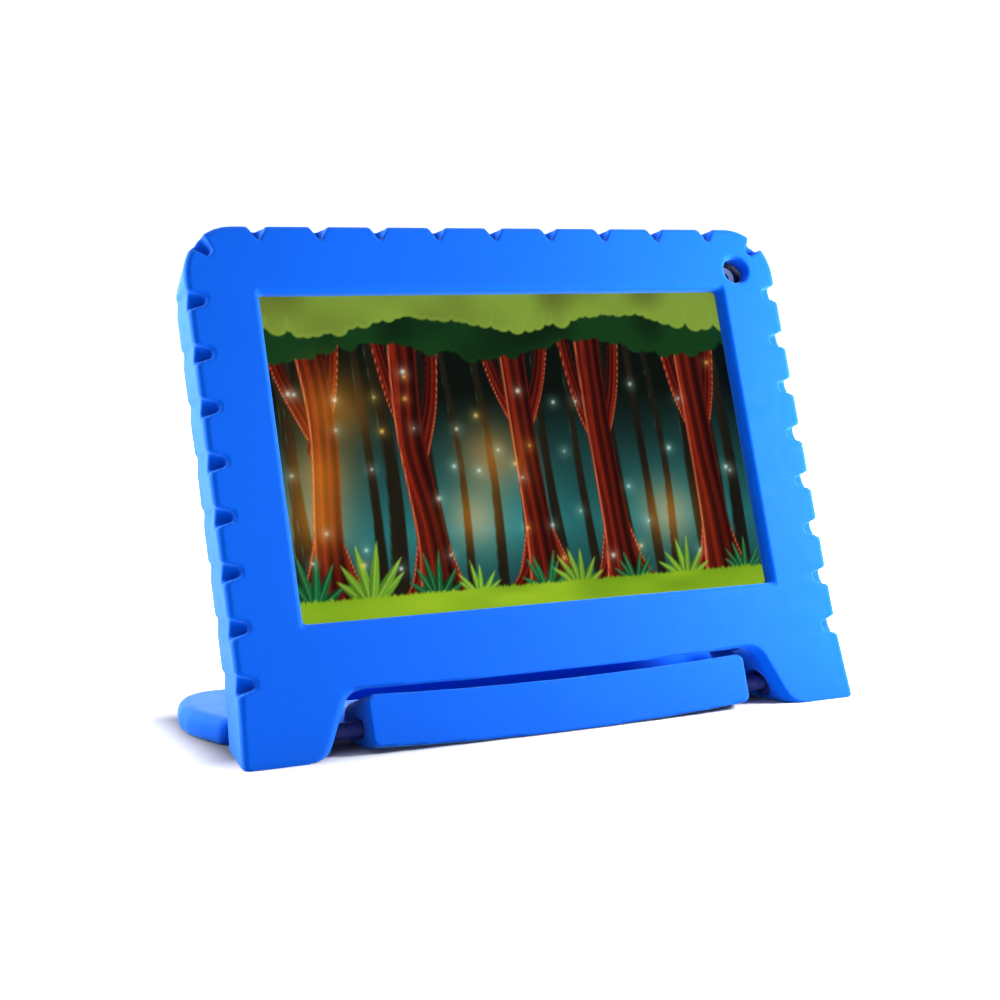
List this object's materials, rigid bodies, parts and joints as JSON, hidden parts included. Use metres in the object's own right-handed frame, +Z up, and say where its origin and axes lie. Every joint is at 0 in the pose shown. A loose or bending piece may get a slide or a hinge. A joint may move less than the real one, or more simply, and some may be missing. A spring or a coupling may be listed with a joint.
{
  "type": "kids tablet in a foam bumper case",
  "caption": "Small children's tablet in a thick scalloped foam bumper case, leaning back on a bar handle that swings round behind it as a stand, with press controls on its top edge.",
  "frame": {"origin": "centre of the bounding box across and front to back, on the ground the case and its stand rest on", "axes": "+X to the right as the user faces the screen, +Y from the screen towards the back, +Z up"},
  "size_m": [0.2052, 0.0728, 0.1469],
  "materials": {
    "blue_foam": "matte moulded foam, fine grain",
    "hinge_plastic": "satin",
    "black_plastic": "satin",
    "cover_glass": "polished",
    "display_panel": "lit display",
    "white_film": "matte",
    "steel": "satin",
    "circuit_board": "satin",
    "battery_pouch": "satin",
    "red_lead": "satin",
    "amber_film": "satin"
  },
  "bodies": {
    "case": {"antenna": "amber_film", "audio_jack_socket": "black_plastic", "back_cover": "black_plastic", "backlight_unit": "white_film", "battery_connector": "white_film", "battery_lead": "red_lead", "battery_pack": "battery_pouch", "board_screw_1": "steel", "board_screw_2": "steel", "board_screw_3": "steel", "board_screw_4": "steel", "bumper_case": "blue_foam", "cover_glass": "cover_glass", "display_flex": "amber_film", "display_panel": "display_panel", "front_camera": "black_plastic", "hinge_bush_left": "hinge_plastic", "hinge_bush_right": "hinge_plastic", "main_board": "circuit_board", "memory_card_socket": "steel", "microphone": "steel", "middle_frame": "steel", "power_switch": "steel", "processor_shield": "steel", "rear_camera": "black_plastic", "rear_camera_window": "cover_glass", "speaker": "black_plastic", "usb_socket": "steel", "volume_switch_down": "steel", "volume_switch_up": "steel"},
    "stand": {"stand_handle": "blue_foam", "hinge_pin_left": "hinge_plastic", "hinge_pin_right": "hinge_plastic"},
    "power_button": {"power_button": "black_plastic"},
    "volume_rocker": {"volume_rocker": "black_plastic"}
  },
  "joints": [
    {"name": "stand_hinge", "type": "hinge", "parent": "case", "child": "stand", "pos_m": [0, -0.02505, 0.00524], "axis": [-1, 0, 0], "range_deg": [0, 109]},
    {"name": "power_press", "type": "slide", "parent": "case", "child": "power_button", "axis": [0, -0.3299, -0.944], "range_m": [0, 0.0004], "stiffness_N_per_m": 500},
    {"name": "volume_rock", "type": "hinge", "parent": "case", "child": "volume_rocker", "pos_m": [0.0289, 0.02103, 0.13411], "axis": [0, 0.944, -0.3299], "range_deg": [-2, 2], "stiffness_Nm_per_rad": 0.05}
  ]
}
